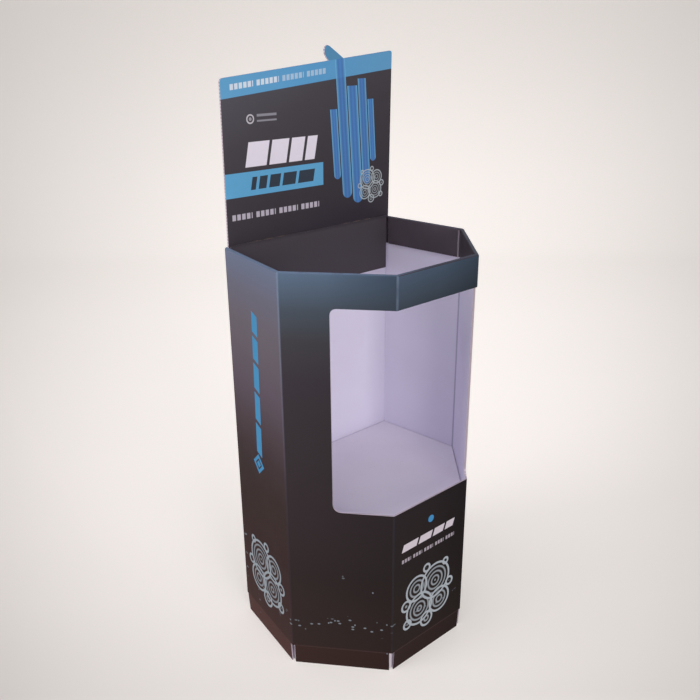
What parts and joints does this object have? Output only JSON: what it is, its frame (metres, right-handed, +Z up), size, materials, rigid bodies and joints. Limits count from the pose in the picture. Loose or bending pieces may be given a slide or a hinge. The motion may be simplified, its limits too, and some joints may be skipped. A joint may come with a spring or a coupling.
{
  "type": "cardboard display bin",
  "caption": "Floor-standing cardboard display bin with six folded sides, a front window over a raised shelf, turned-in rim and a tall slanted header card.",
  "frame": {"origin": "middle of the bin's footprint at floor level", "axes": "+Z up, -Y towards the front panel with the window, +X to the right of a person standing inside and facing the back"},
  "size_m": [0.519, 0.391, 1.2992],
  "materials": {
    "printed_board": "dark charcoal print with a satin varnish, white inside",
    "header_board": "dark charcoal print with blue and white fields, satin varnish",
    "white_board": "plain matte white liner board",
    "liner_board": "plain matte white liner board",
    "kraft_board": "plain matte brown corrugated board"
  },
  "bodies": {
    "root": {"outer_sleeve": "printed_board", "header_card": "header_board", "shelf_tray": "white_board", "support_liner": "liner_board", "divider_side_to_side": "kraft_board", "divider_front_to_back": "kraft_board"}
  },
  "joints": []
}
